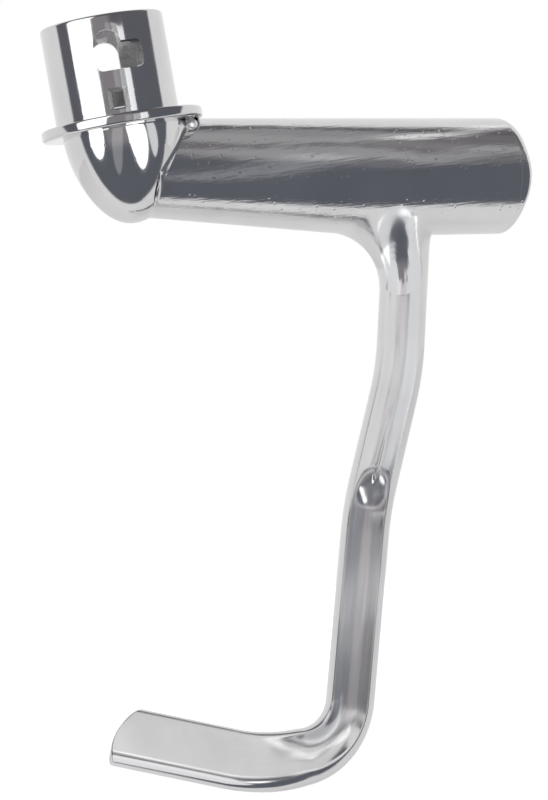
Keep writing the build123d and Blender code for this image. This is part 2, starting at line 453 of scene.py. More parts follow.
def arm_shape(station):
    """Half height and half width of the arm, which taper towards the knuckle."""
    share = np.clip((station - ARM_ROOT) / (ARM_TAPER_END - ARM_ROOT), 0.0, 1 + ARM_TAPER_BLEND)
    share = share - np.clip(share - 1 + ARM_TAPER_BLEND, 0.0, None) ** 2 / (4 * ARM_TAPER_BLEND)
    return mix(ARM_ROOT_HEIGHT / 2, ARM_RADIUS, share), mix(ARM_ROOT_WIDTH / 2, ARM_RADIUS, share)


def arm_frame(station, lift, aside):
    """Points at stations along the arm, lifted from its axis and moved aside."""
    return (arm_origin + np.multiply.outer(station, arm_along)
            + np.multiply.outer(lift, arm_up) + np.multiply.outer(aside, arm_side))


def arm_points(station, growth=0.0):
    """Points on the arm at each of its angles, which start at the top and turn towards +Y."""
    half_height, half_width = arm_shape(station)
    lift = ARM_RADIUS - half_height + (half_height + growth) * arm_rise
    return arm_frame(station, lift, (half_width + growth) * np.sin(arm_angles))


arm_rows = []
for station in np.append(np.linspace(ARM_ROOT, ARM_TUBE_END - SKIN_EDGE, ARM_ROWS), ARM_TUBE_END):
    row = arm_points(np.full(ARM_RING, station))
    if station < UNDER_COLLAR_END:
        row[:, 2] = np.minimum(row[:, 2], COLLAR_FLOOR - ARM_CLEARANCE)
    arm_rows.append(row)
arm = grid_object("arm_tube_skin", arm_rows)


def end_share(blend):
    """Share round the arm's end, from its value at the sides and its gain to the top."""
    return ease(blend[0] + blend[1] * arm_rise)


cap_round = mix(ARM_END_ROUND_LOW, ARM_END_ROUND, end_share(ROUND_BLEND))
cap_retreat = ARM_END_RETREAT * end_share(RETREAT_BLEND)
cap_profile = [(ARM_RADIUS, ARM_TUBE_END), (ARM_RADIUS, ARM_TUBE_END + SKIN_EDGE)]
for turn in np.linspace(0, QUARTER, CAP_STEPS):
    cap_station = ARM_END - cap_retreat - cap_round * (1 - np.sin(turn))
    cap_profile.append((ARM_RADIUS - cap_round * (1 - np.cos(turn)), cap_station))
for radius in ARM_FACE_RADII:
    cap_profile.append((radius, ARM_END - cap_retreat * (radius / ARM_RADIUS) ** 2))
cap_rows = []
for radius, station in cap_profile:
    stations = station * np.ones(ARM_RING)
    cap_rows.append(arm_frame(stations, radius * arm_rise, radius * np.sin(arm_angles)))
arm_cap = grid_object("arm_end_cap", cap_rows)

# Hook bar

shank_head = arm_origin + arm_along * SHANK_STATION
foot_along = heading(FOOT_AZIMUTH, FOOT_RISE)
tip = HEEL + foot_along * FOOT_LENGTH
path_corners = [shank_head, JOG, SCOOP_CORNER, CORNER, HEEL, tip + foot_along * 2 * FOOT_HALF_WIDTH]


def rounded_path(corners, radii, step):
    """Points along a line with rounded bends, and the stations where each bend starts and ends."""
    line = [corners[0]]
    spans = []
    for before, corner, after, radius in zip(corners, corners[1:], corners[2:], radii):
        back = unit(before - corner)
        ahead = unit(after - corner)
        half = np.arccos(back @ ahead) / 2
        setback = radius / np.tan(half)
        centre = corner + unit(back + ahead) * radius / np.sin(half)
        first = corner + back * setback - centre
        normal = unit(np.cross(first, corner + ahead * setback - centre))
        turned = np.cross(normal, first)
        spans.append([len(line), len(line) + BEND_STEPS - 1])
        line += [centre + first * np.cos(a) + turned * np.sin(a)
                 for a in np.linspace(0, np.pi - 2 * half, BEND_STEPS)]
    line = np.array(line + [corners[-1]])
    lengths = np.concatenate([[0], np.cumsum(np.linalg.norm(np.diff(line, axis=0), axis=1))])
    stations = np.arange(0, lengths[-1], step)
    points = np.stack([np.interp(stations, lengths, line[:, axis]) for axis in range(3)], axis=1)
    return stations, points, lengths[spans]


path_stations, path_points, bends = rounded_path(path_corners, BEND_RADII, PATH_STEP)
(corner_start, _), (_, heel_end) = bends[-2:]
path_along = unit(np.gradient(path_points, axis=0))
tip_station = path_stations[-1] - 2 * FOOT_HALF_WIDTH


def arc_points(first, middle, last, steps):
    """Points on the arc through three points of a section, without the last one."""
    first, middle, last = [np.array(point) for point in (first, middle, last)]
    a = middle - first
    b = last - first
    cross = 2 * (a[0] * b[1] - a[1] * b[0])
    shares = np.linspace(0, 1, steps, endpoint=False)
    if abs(cross) < FLAT_CROSS:
        return [first + b * share for share in shares]
    centre = first + np.array([
        b[1] * (a @ a) - a[1] * (b @ b), a[0] * (b @ b) - b[0] * (a @ a)]) / cross
    start, through, end = [np.arctan2(*(point - centre)[::-1]) for point in (first, middle, last)]
    through = (through - start) % (2 * np.pi)
    sweep = (end - start) % (2 * np.pi)
    if through > sweep:
        sweep -= 2 * np.pi
    radius = np.linalg.norm(first - centre)
    return [centre + radius * np.array([np.cos(start + sweep * share), np.sin(start + sweep * share)])
            for share in shares]


def soften(ring, softness):
    """Ring of points with its corners rounded over a length."""
    closed = np.vstack([ring, ring[:1]])
    gaps = np.linalg.norm(np.diff(closed, axis=0), axis=1)
    lengths = np.concatenate([[0], np.cumsum(gaps)])
    even = np.linspace(0, lengths[-1], SECTION_POINTS, endpoint=False)
    points = np.stack([np.interp(even, lengths, closed[:, axis]) for axis in range(2)], axis=1)
    frequency = np.fft.fftfreq(SECTION_POINTS, lengths[-1] / SECTION_POINTS)
    blur = np.exp(-2 * (np.pi * frequency * softness) ** 2)
    return np.real(np.fft.ifft(np.fft.fft(points, axis=0) * blur[:, None], axis=0))


def flatness_at(station):
    """Share of the way from the round bar to the flat foot."""
    return ease((station - corner_start) / (heel_end - corner_start))


def bar_ring(station):
    """Section of the bar at a station, across and out of the scoop's face."""
    opening = np.clip((station - SCOOP_START) / SCOOP_RUNOUT, 0.0, 1.0)
    flatness = flatness_at(station)
    half_width = mix(SHANK_RADIUS, FOOT_HALF_WIDTH, flatness)
    edge = mix(SHANK_RADIUS, FOOT_EDGE, flatness)
    back = mix(SHANK_RADIUS, FOOT_HALF_THICKNESS, flatness)
    hollow = mix(SCOOP_HOLLOW, FOOT_HOLLOW, flatness)
    full_lip = mix(SCOOP_LIP, FOOT_LIP, flatness)
    lip = mix(CLOSED_LIP, full_lip, np.sqrt(1 - (1 - opening) ** 2))
    floor = mix(edge, edge * np.sin(np.radians(full_lip)) - hollow, ease(opening))

    def edge_point(angle):
        turn = np.radians(angle)
        return (half_width - edge + edge * np.cos(turn), edge * np.sin(turn))

    right = [edge_point(angle) for angle in (lip, lip / 2, 0.0, -BACK_ANGLE / 2, -BACK_ANGLE)]
    left = [(-across, height) for across, height in reversed(right)]
    ring = (
        arc_points(*right[:3], EDGE_STEPS) + arc_points(*right[2:], EDGE_STEPS)
        + arc_points(right[-1], (0.0, -back), left[0], BACK_STEPS)
        + arc_points(*left[:3], EDGE_STEPS) + arc_points(*left[2:], EDGE_STEPS)
        + arc_points(left[-1], (0.0, floor), right[0], FLOOR_STEPS)
    )
    ring = soften(np.array(ring), LIP_SOFTNESS)
    crease_share = ease((station - CREASE_START) / (SCOOP_START - CREASE_START))
    crease = CREASE_DEPTH * crease_share * (1 - ease(opening * 2))
    front = ring[:, 1] > 0
    ring[front, 1] -= crease * np.exp(-(ring[front, 0] / CREASE_HALF_WIDTH) ** 2)
    return ring


def bar_frame(index):
    """Directions across the bar and out of its face at a path point."""
    face = heading(FACE_AZIMUTH, FOOT_FACE_RISE * flatness_at(path_stations[index]))
    across = unit(np.cross(face, path_along[index]))
    return across, np.cross(path_along[index], across)


def tip_limit(across):
    """Station where the slanted, rounded end of the foot cuts off each distance across it."""
    slant = across / np.cos(TIP_CUT)
    bulge = TIP_BULGE - TIP_ROUND + np.sqrt(np.maximum(TIP_ROUND ** 2 - slant ** 2, TIP_LEAST_SQUARE))
    return tip_station + across * np.tan(TIP_CUT) + bulge / np.cos(TIP_CUT)


bar_rows = []
bar_runs = []


def add_bar_row(base, station, ring):
    """Adds a row of points round the bar, and their stations and places in its section."""
    bar_rows.append(base + np.outer(ring[:, 0], across) + np.outer(ring[:, 1], face))
    bar_runs.append(np.column_stack([np.broadcast_to(station, len(ring)), ring]))


def add_foot_row(reach, ring):
    """Adds a row of points across the foot at a reach along it."""
    add_bar_row(foot_base + np.outer(reach, foot_along), foot_station + reach, ring)


for index in np.flatnonzero(path_stations <= heel_end + FOOT_LEAD):
    across, face = bar_frame(index)
    foot_base = path_points[index]
    foot_station = path_stations[index]
    add_bar_row(foot_base, foot_station, bar_ring(foot_station))
foot_ring = bar_ring(path_stations[-1])
foot_reach = tip_limit(foot_ring[:, 0]) - TIP_EDGE - foot_station
ring_way = np.roll(foot_ring, -1, axis=0) - np.roll(foot_ring, 1, axis=0)
ring_out = unit(np.stack([ring_way[:, 1], -ring_way[:, 0]], axis=1))
ring_out *= np.sign(np.sum(ring_out * foot_ring))
for share in FOOT_SHARES:
    add_foot_row(foot_reach * share, foot_ring)
for angle in np.linspace(0, QUARTER, TIP_STEPS)[1:]:
    drawn_in = foot_ring - ring_out * TIP_EDGE * (1 - np.cos(angle))
    add_foot_row(foot_reach + TIP_EDGE * np.sin(angle), drawn_in)
for squeeze in TIP_SQUEEZES:
    add_foot_row(foot_reach + TIP_EDGE, drawn_in * np.array([1.0, squeeze]))
bar = grid_object("hook_bar_skin", bar_rows)
end_runs = [bar_runs[0].mean(axis=0), bar_runs[-1].mean(axis=0)]
run_values = np.vstack([*bar_runs, *end_runs]) * MM
bar_run = bar.data.attributes.new("run", "FLOAT_VECTOR", "POINT")
bar_run.data.foreach_set("vector", run_values.ravel())

# Weld fillet between the arm and the bar


def inside_arm(points):
    """True for points inside the arm."""
    offset = points - arm_origin
    half_height, half_width = arm_shape(offset @ arm_along)
    lift = offset @ arm_up - (ARM_RADIUS - half_height)
    return (lift / half_height) ** 2 + (offset @ arm_side / half_width) ** 2 < 1


shank_down = unit(JOG - shank_head)


def rise_to_arm(points):
    """Points moved up along the shank until they meet the arm's surface."""
    low = np.zeros(len(points))
    reach = first_place(low, low + ARM_SEARCH, lambda rise: inside_arm(points - np.outer(rise, shank_down)))
    return points - np.outer(reach, shank_down)


weld_inner_way = unit(np.cross(arm_side, shank_down))
weld_inner_way *= -np.sign(weld_inner_way[0])
weld_angles = ring_angles(WELD_RING)
inward = np.cos(weld_angles)


def weld_reach(reach):
    """Reach of the fillet round the shank, from its inner side over its flanks to its outer side."""
    second = (reach["inner"] + reach["outer"]) / 4 - reach["side"] / 2
    first = (reach["inner"] - reach["outer"]) / 2
    return (reach["side"] + second + first * inward + second * np.cos(2 * weld_angles))[:, None]


on_arm = weld_reach(WELD_ON_ARM)
on_shank = weld_reach(WELD_ON_SHANK)
weld_out = np.outer(inward, weld_inner_way) + np.outer(np.sin(weld_angles), arm_side)
weld_base = shank_head + shank_down * WELD_BASE_DROP
shank_top = rise_to_arm(weld_base + weld_out * SHANK_RADIUS)
arm_foot = rise_to_arm(weld_base + weld_out * (SHANK_RADIUS + on_arm))
arm_near = rise_to_arm(weld_base + weld_out * (SHANK_RADIUS + on_arm * WELD_NEAR_SHARE))
arm_way = unit(arm_foot - arm_near)
shank_foot = shank_top + on_shank * shank_down
weld_span = np.linalg.norm(arm_foot - shank_foot, axis=1, keepdims=True)
arm_pull = mix(*WELD_ARM_PULL, (0.5 + 0.5 * inward) ** 2)[:, None]
weld_points = (
    shank_foot,
    shank_foot - WELD_SHANK_PULL * weld_span * shank_down,
    arm_foot - arm_pull * weld_span * arm_way,
    arm_foot,
)
weld_rows = [
    shank_foot + WELD_RUNOUT * shank_down - WELD_SINK * weld_out,
    *[bezier(weld_points, share) for share in np.linspace(0, 1, WELD_STEPS)],
    arm_foot + WELD_RUNOUT * arm_way - WELD_SINK * shank_down,
    arm_foot - WELD_BURY * shank_down,
    shank_top - WELD_BURY * shank_down - weld_out,
    shank_foot - weld_out,
]
hook_fillet = grid_object("hook_weld_fillet", weld_rows, capped=False)

# Weld seam between the arm and the knuckle


def leave_knuckle(growth):
    """Stations where lines along the grown arm come out of the knuckle."""

    def outside(station):
        points = arm_points(station, growth)
        drawn_back = points[:, 0] / np.where(points[:, 0] > 0, KNUCKLE_STRETCH, 1.0)
        nose_radius = np.interp(points[:, 2], nose_curve[:, 1], nose_curve[:, 0], left=0.0)
        return np.hypot(drawn_back, points[:, 1]) >= nose_radius

    return first_place(np.full(ARM_RING, ARM_ROOT), np.full(ARM_RING, KNUCKLE_SEARCH), outside)


underside = ease((-arm_rise - SEAM_UNDERSIDE_FROM) / (1 - SEAM_UNDERSIDE_FROM))
topside = ease((arm_rise - SEAM_TOP_FROM) / (SEAM_TOP_FULL - SEAM_TOP_FROM))
seam_size = mix(SEAM_THROAT * mix(1.0, SEAM_THIN_SHARE, underside), SEAM_THROAT_TOP, topside)
near_size = seam_size * SEAM_NEAR_SHARE
seam_start = leave_knuckle(0.0)
seam_arm = arm_points(seam_start + seam_size * SEAM_REACH)
seam_knuckle = arm_points(leave_knuckle(seam_size), seam_size)
seam_way = unit(seam_knuckle - arm_points(leave_knuckle(near_size), near_size))
seam_scale = seam_size[:, None]
seam_points = (
    seam_arm,
    seam_arm - SEAM_ARM_PULL * seam_scale * arm_along,
    seam_knuckle - SEAM_KNUCKLE_PULL * seam_scale * seam_way,
    seam_knuckle,
)
seam_sink = arm_points(seam_start, -WELD_SINK) - arm_points(seam_start)
seam_rows = [
    *[bezier(seam_points, share) for share in np.linspace(0, 1, SEAM_STEPS)],
    seam_knuckle + SEAM_RUNOUT * seam_scale * seam_way - WELD_SINK * arm_along,
    arm_points(seam_start - SEAM_BACK, -SEAM_BURY),
    seam_arm + SEAM_RUNOUT * seam_scale * arm_along + seam_sink,
]
for row in seam_rows:
    row[:, 2] = np.minimum(row[:, 2], COLLAR_FLOOR - SEAM_CLEARANCE)
seam = grid_object("knuckle_weld_seam", seam_rows, capped=False)

bead_profile = []
for angle in np.linspace(-QUARTER, QUARTER, BEAD_STEPS):
    bead_radius = BEAD_RADIUS * max(np.cos(angle), BEAD_POLE)
    bead_profile.append((bead_radius, BEAD[2] + BEAD_RADIUS * np.sin(angle)))
bead = grid_object("weld_bead", lathe_rows(bead_profile, BEAD_RING, BEAD[:2]))
seam_faces = len(seam.data.polygons)
joined = bmesh.new()
joined.from_mesh(seam.data)
joined.from_mesh(bead.data)
joined.to_mesh(seam.data)
joined.free()
bpy.data.objects.remove(bead)

# Finishes, with depths in millimetres

METAL_TONE = 0.665
# Lighter base colour for the matte steel: painted light, which brightens the socket's dimple and the weld
# bead
MATTE_PAINTED_LIGHT_TONE = 0.93
CLOUD_RANGE = (0.3, 0.65)
CLOUD_TINT = (0.05, 0.053, 0.05)
WEAR_RANGE = (0.3, 0.75)
WEAR_SHARES = (0.7, 1.5)
PIT_RANGE = (0.08, 0.2)
FINE_FINISH = {"ripple": 0.004, "grain": (900.0, 900.0, 900.0), "grain_depth": 0.004, "pits": 0.002}


def node(tree, kind, inputs=None, **settings):
    """New shader node with its settings and input values."""
    made = tree.nodes.new(kind)
    for key, value in settings.items():
        setattr(made, key, value)
    for key, value in (inputs or {}).items():
        made.inputs[key].default_value = value
    return made


def remap(tree, span, result, **settings):
    """New shader node that maps a span of values onto another."""
    limits = dict(zip(("From Min", "From Max", "To Min", "To Max"), (*span, *result)))
    return node(tree, "ShaderNodeMapRange", limits, **settings)


def polished_metal(name, roughness, ripple, grain, grain_depth, pits, run=None, tone=METAL_TONE):
    """Polished metal with soft ripples, a grain of rub marks, small pits and cloudy spots.

    The grain is given as marks per metre along X, Y and Z, or along and across the piece's own run.
    """
    material = bpy.data.materials.new(name)
    material.use_nodes = True
    tree = material.node_tree
    shader = tree.nodes["Principled BSDF"]
    shader.inputs["Metallic"].default_value = 1.0
    place = node(tree, "ShaderNodeTexCoord").outputs["Object"]
    grain_place = place
    if run:
        grain_place = node(tree, "ShaderNodeAttribute", attribute_name=run).outputs["Vector"]
    cloud = node(tree, "ShaderNodeTexNoise", {"Scale": 90.0, "Detail": 4.0})
    ramp = node(tree, "ShaderNodeValToRGB")
    cloud_colours = [tone - tint for tint in CLOUD_TINT], [tone, tone, tone]
    for element, position, colour in zip(ramp.color_ramp.elements, CLOUD_RANGE, cloud_colours):
        element.position = position
        element.color = (*colour, 1.0)
    spread = node(tree, "ShaderNodeMapping", {"Scale": grain})
    marks = node(tree, "ShaderNodeTexNoise", {"Scale": 1.0, "Detail": 6.0})
    wear = remap(tree, WEAR_RANGE, [roughness * share for share in WEAR_SHARES])
    waves = node(tree, "ShaderNodeTexNoise", {"Scale": 130.0, "Detail": 1.0})
    dots = node(tree, "ShaderNodeTexVoronoi", {"Scale": 620.0})
    dot_size = remap(tree, PIT_RANGE, (0.0, 1.0))
    wave_bump, mark_bump, dot_bump = [
        node(tree, "ShaderNodeBump", {"Strength": 1.0, "Distance": depth * MM})
        for depth in (ripple, grain_depth, pits)
    ]
    for source, target in (
        (grain_place, spread.inputs["Vector"]),
        (spread.outputs["Vector"], marks.inputs["Vector"]),
        (place, cloud.inputs["Vector"]),
        (place, waves.inputs["Vector"]),
        (place, dots.inputs["Vector"]),
        (cloud.outputs["Fac"], ramp.inputs["Fac"]),
        (ramp.outputs["Color"], shader.inputs["Base Color"]),
        (marks.outputs["Fac"], wear.inputs["Value"]),
        (wear.outputs["Result"], shader.inputs["Roughness"]),
        (waves.outputs["Fac"], wave_bump.inputs["Height"]),
        (marks.outputs["Fac"], mark_bump.inputs["Height"]),
        (dots.outputs["Distance"], dot_size.inputs["Value"]),
        (dot_size.outputs["Result"], dot_bump.inputs["Height"]),
        (wave_bump.outputs["Normal"], mark_bump.inputs["Normal"]),
        (mark_bump.outputs["Normal"], dot_bump.inputs["Normal"]),
        (dot_bump.outputs["Normal"], shader.inputs["Normal"]),
    ):
        tree.links.new(source, target)
    return material


steel = polished_metal(
    "polished_steel", roughness=0.08, ripple=0.03, grain=(500.0, 500.0, 120.0), grain_depth=0.006,
    pits=0.004)
arm_steel = polished_metal(
    "polished_steel_arm", roughness=0.11, ripple=0.02, grain=(140.0, 1700.0, 1700.0), grain_depth=0.045,
    pits=0.025)
satin = polished_metal(
    "satin_steel", roughness=0.17, ripple=0.003, grain=(50.0, 1100.0, 1100.0), grain_depth=0.006,
    pits=0.002, run="run")
weld_metal = polished_metal(
    "weld_metal", roughness=0.14, ripple=0.006, grain=(300.0, 300.0, 300.0), grain_depth=0.006,
    pits=0.004)
bore_steel = polished_metal("bore_steel", roughness=0.3, **FINE_FINISH)
# Rougher matte steel with a lighter base colour: the roughness is a real finish, the lighter colour is
# painted light on the dimple and the weld bead
matte_painted_light = polished_metal("matte_steel_painted_light", roughness=0.45, **FINE_FINISH, tone=MATTE_PAINTED_LIGHT_TONE)

pieces = (
    (socket, "drive_socket", "polished_steel", steel),
    (collar_ring, "collar", "polished_steel", steel),
    (nose, "knuckle", "polished_steel", steel),
    (arm, "arm_tube", "polished_steel", arm_steel),
    (arm_cap, "arm_end_plug", "polished_steel", arm_steel),
    (bar, "hook_bar", "polished_steel", satin),
    (hook_fillet, "hook_weld", "weld_metal", weld_metal),
    (seam, "knuckle_weld", "weld_metal", weld_metal),
)
for piece, part_name, slot_name, material in pieces:
    piece.data.materials.clear()
    piece.data.materials.append(material)
    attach(piece, "root")
    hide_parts(part_name)


def add_finish(piece, material):
    """Adds a material to a piece and returns its index."""
    piece.data.materials.append(material)
    return len(piece.data.materials) - 1


bore_index = add_finish(socket, bore_steel)
# The dimple's faces get the matte steel, whose lighter base colour is painted light
dimple_index = add_finish(socket, matte_painted_light)
for face in socket.data.polygons:
    face_radius = np.hypot(face.center.x, face.center.y) / MM
    face_height = face.center.z / MM
    if face_radius < SOCKET_RADIUS - CUT_EDGE and face_height < -RIM_ROUND:
        in_dimple = face_radius > BORE_RADIUS + SKIN_EDGE and face_height < DIMPLE_HEIGHT + DIMPLE_FRAME
        face.material_index = dimple_index if in_dimple else bore_index
# The weld bead gets the matte steel, whose lighter base colour is painted light
bead_index = add_finish(seam, matte_painted_light)
for face in list(seam.data.polygons)[seam_faces:]:
    face.material_index = bead_index
for cad_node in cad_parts.values():
    cad_node.data.materials.clear()
    cad_node.data.materials.append(steel)

# Stage: a pale floor below the hanging hook, behind the plane of the socket's axis

FLOOR_DROP = 60.0
FLOOR_SPAN = 900.0
FLOOR_TONE = 0.9
FLOOR_ROUGHNESS = 0.9
FLOOR_MIRRORED = 0.4
FLOOR_LIFT_REACH = (0.3, 1.2)
FLOOR_LIFT = (0.1, 0.4)

floor_height = cad_bounds[0][2] / MM - FLOOR_DROP
floor_corners = []
for away, aside in ((0, -1), (0, 1), (2, 1), (2, -1)):
    floor_corners.append(AWAY * away * FLOOR_SPAN + ACROSS * aside * FLOOR_SPAN + UP * floor_height)
floor = make_object("floor", floor_corners, [(0, 1, 2, 3)], smooth=False)
floor_paint = bpy.data.materials.new("floor_paint")
floor_paint.use_nodes = True
floor_tree = floor_paint.node_tree
floor_shader = floor_tree.nodes["Principled BSDF"]
floor_shader.inputs["Base Color"].default_value = (FLOOR_TONE, FLOOR_TONE, FLOOR_TONE, 1.0)
floor_shader.inputs["Roughness"].default_value = FLOOR_ROUGHNESS
floor_shader.inputs["Emission Color"].default_value = (1.0, 1.0, 1.0, 1.0)
floor_path = node(floor_tree, "ShaderNodeLightPath")
floor_seen = floor_path.outputs["Is Camera Ray"]
for ray_kind in ("Is Glossy Ray", "Is Transmission Ray"):
    either = node(floor_tree, "ShaderNodeMath", operation="MAXIMUM")
    floor_tree.links.new(floor_seen, either.inputs[0])
    floor_tree.links.new(floor_path.outputs[ray_kind], either.inputs[1])
    floor_seen = either.outputs[0]
floor_mirrored = node(floor_tree, "ShaderNodeMath", {1: FLOOR_MIRRORED}, operation="MULTIPLY")
floor_place = node(floor_tree, "ShaderNodeTexCoord")
floor_reach = node(floor_tree, "ShaderNodeVectorMath", operation="LENGTH")
floor_lift = remap(floor_tree, FLOOR_LIFT_REACH, FLOOR_LIFT)
floor_glow = node(floor_tree, "ShaderNodeMath", operation="MULTIPLY_ADD")
for source, target in (
    (floor_place.outputs["Object"], floor_reach.inputs[0]),
    (floor_reach.outputs["Value"], floor_lift.inputs["Value"]),
    (floor_seen, floor_mirrored.inputs[0]),
    (floor_path.outputs["Is Camera Ray"], floor_glow.inputs[0]),
    (floor_lift.outputs["Result"], floor_glow.inputs[1]),
    (floor_mirrored.outputs[0], floor_glow.inputs[2]),
    (floor_glow.outputs[0], floor_shader.inputs["Emission Strength"]),
):
    floor_tree.links.new(source, target)
floor.data.materials.append(floor_paint)

# Studio: white behind the hook, and a dark room with a faint glow before it, with rises and azimuths in
# degrees

TABLE_TILT_HIGH = np.radians(27.0)
TABLE_TILT_LOW = np.radians(14.0)
TABLE_TURN = np.radians(6.0)
TABLE_SOFT = 0.04
TABLE_WHITE = (0.96, 0.96, 0.965)
LEVEL_SOFT = 5.0
ROOM_LOW = (0.146, 0.154, 0.181)
ROOM_MIDDLE = (0.155, 0.147, 0.156)
ROOM_MIDDLE_RISE = 30.0
ROOM_HIGH = (0.37, 0.365, 0.37)
ROOM_HIGH_RISES = (84.0, 89.0)
ROOM_GLOW = (0.31, 0.29, 0.305)
GLOW_AZIMUTHS = (-28.0, 18.0)
GLOW_RISES = (-14.0, 40.0)
GLOW_SOFT = 6.0
WHITE = (1.0, 1.0, 1.0)
DEGREES = 180.0 / np.pi

# Sockets of a mix node that belong to colours
MIX_SHARE = 0
MIX_FIRST = 6
MIX_SECOND = 7
MIX_RESULT = 2

world = bpy.data.worlds.new("studio")
bpy.context.scene.world = world
world.use_nodes = True
sky = world.node_tree
sky.nodes.clear()
sky_place = node(sky, "ShaderNodeTexCoord")


def sky_along(direction):
    """Share of the sky's direction along a fixed one."""
    made = node(sky, "ShaderNodeVectorMath", {1: tuple(direction)}, operation="DOT_PRODUCT")
    sky.links.new(sky_place.outputs["Generated"], made.inputs[0])
    return made.outputs["Value"]


def sky_math(operation, first, second):
    """Sum, product or other value of two sockets or numbers."""
    made = node(sky, "ShaderNodeMath", operation=operation)
    for socket_in, value in zip(made.inputs, (first, second)):
        if isinstance(value, float):
            socket_in.default_value = value
        else:
            sky.links.new(value, socket_in)
    return made.outputs[0]


def sky_step(value, start, end):
    """Smooth step from 0 to 1 as a value goes from start to end."""
    made = remap(sky, (start, end), (0.0, 1.0), interpolation_type="SMOOTHSTEP")
    sky.links.new(value, made.inputs["Value"])
    return made.outputs["Result"]


def sky_band(value, low, high, soft):
    """Share that is 1 between two values and fades to 0 past them."""
    above = sky_step(value, low - soft, low + soft)
    below = sky_step(value, high + soft, high - soft)
    return sky_math("MULTIPLY", above, below)


def sky_mix(share, first, second):
    """Colour between two others."""
    made = node(sky, "ShaderNodeMix", data_type="RGBA")
    for key, value in ((MIX_SHARE, share), (MIX_FIRST, first), (MIX_SECOND, second)):
        if isinstance(value, tuple):
            made.inputs[key].default_value = (*value, 1.0)
        else:
            sky.links.new(value, made.inputs[key])
    return made.outputs[MIX_RESULT]


azimuth = sky_math("MULTIPLY", sky_math("ARCTAN2", sky_along(ACROSS), sky_along(-AWAY)), DEGREES)
rise = sky_math("MULTIPLY", sky_math("ARCSINE", sky_along(UP), 0.0), DEGREES)
table_level = AWAY * np.cos(TABLE_TURN) - ACROSS * np.sin(TABLE_TURN)
upper_share = sky_step(rise, -LEVEL_SOFT, LEVEL_SOFT)
lower_share = sky_math("SUBTRACT", 1.0, upper_share)
table_parts = []
for tilt, level_share in ((TABLE_TILT_LOW, lower_share), (TABLE_TILT_HIGH, upper_share)):
    table_way = table_level * np.cos(tilt) - UP * np.sin(tilt)
    table_parts.append(
        sky_math("MULTIPLY", sky_step(sky_along(table_way), -TABLE_SOFT, TABLE_SOFT), level_share))
glow_share = sky_math(
    "MULTIPLY", sky_band(azimuth, *GLOW_AZIMUTHS, GLOW_SOFT), sky_band(rise, *GLOW_RISES, GLOW_SOFT))
room = sky_mix(sky_step(rise, 0.0, ROOM_MIDDLE_RISE), ROOM_LOW, ROOM_MIDDLE)
room = sky_mix(sky_step(rise, *ROOM_HIGH_RISES), room, ROOM_HIGH)
room = sky_mix(glow_share, room, ROOM_GLOW)
seen = sky_mix(sky_math("ADD", *table_parts), room, TABLE_WHITE)
shown = sky_mix(node(sky, "ShaderNodeLightPath").outputs["Is Camera Ray"], seen, WHITE)
background = node(sky, "ShaderNodeBackground")
world_output = node(sky, "ShaderNodeOutputWorld")
sky.links.new(shown, background.inputs["Color"])
sky.links.new(background.outputs["Background"], world_output.inputs["Surface"])


def add_to_scene(name, data, right, top, back, place):
    """Camera or lamp with its three axes, at a place in millimetres."""
    obj = bpy.data.objects.new(name, data)
    rows = [(right[row], top[row], back[row], place[row] * MM) for row in range(3)]
    obj.matrix_world = Matrix([*rows, (0.0, 0.0, 0.0, 1.0)])
    bpy.context.scene.collection.objects.link(obj)
    return obj


# Camera

image_right = np.cos(VIEW_ROLL) * ACROSS - np.sin(VIEW_ROLL) * UP
image_up = np.sin(VIEW_ROLL) * ACROSS + np.cos(VIEW_ROLL) * UP
mouth_offset = (MOUTH_PIXEL - PICTURE / 2) / FOCAL_PIXELS * VIEW_DISTANCE
camera_place = -VIEW_DISTANCE * AWAY - mouth_offset[0] * image_right + mouth_offset[1] * image_up
camera_data = bpy.data.cameras.new("camera")
camera_data.sensor_fit = "VERTICAL"
camera_data.sensor_height = SENSOR_HEIGHT
camera_data.lens = SENSOR_HEIGHT * FOCAL_PIXELS / PICTURE[1]
camera_data.clip_start = CLIP_START
bpy.context.scene.camera = add_to_scene("camera", camera_data, image_right, image_up, -AWAY, camera_place)
bpy.context.scene.view_settings.view_transform = "Standard"

# Soft lamp over the floor, for the shadow, with its place and size in metres

LAMP_PLACE = Vector((-0.2, -0.3, 0.9))
LAMP_SIZE = 0.3
LAMP_POWER = 3.2

lamp_data = bpy.data.lights.new("soft_lamp", "AREA")
lamp_data.shape = "DISK"
lamp_data.size = LAMP_SIZE
lamp_data.energy = LAMP_POWER
lamp = bpy.data.objects.new("soft_lamp", lamp_data)
lamp.location = LAMP_PLACE
lamp.rotation_euler = (-LAMP_PLACE).to_track_quat("-Z", "Y").to_euler()
lamp.visible_glossy = False
bpy.context.scene.collection.objects.link(lamp)

# Lit cards, which the metal reflects and the camera doesn't see, with distances in millimetres

SOFTBOX_DISTANCE = 1200.0
KNUCKLE_DISTANCE = 200.0
ARM_DISTANCE = 120.0
WALL_DISTANCE = 110.0
TROUGH_LOW_DISTANCE = 50.0
BEND_DISTANCE = 25.0
FOOT_DISTANCE = 50.0
GLINT_DISTANCE = 300.0

bar_up = unit(shank_head - CORNER)
bar_aside = unit(np.cross(AWAY, bar_up))
bar_ahead = np.cross(bar_aside, bar_up)


def card_lamp(name, receivers, centre, back, along, width, tall, brightness, shape="RECTANGLE"):
    """Lit card that only the given pieces reflect, which faces away from its back."""
    data = bpy.data.lights.new(name, "AREA")
    data.shape = shape
    data.size = width * MM
    data.size_y = tall * MM
    data.energy = brightness * np.pi * width * tall * MM * MM
    right = unit(along - back * (along @ back))
    card = add_to_scene(name, data, right, np.cross(back, right), back, centre)
    card.visible_camera = False
    group = bpy.data.collections.new(name + "_receivers")
    for receiver in receivers:
        group.objects.link(receiver)
    card.light_linking.receiver_collection = group


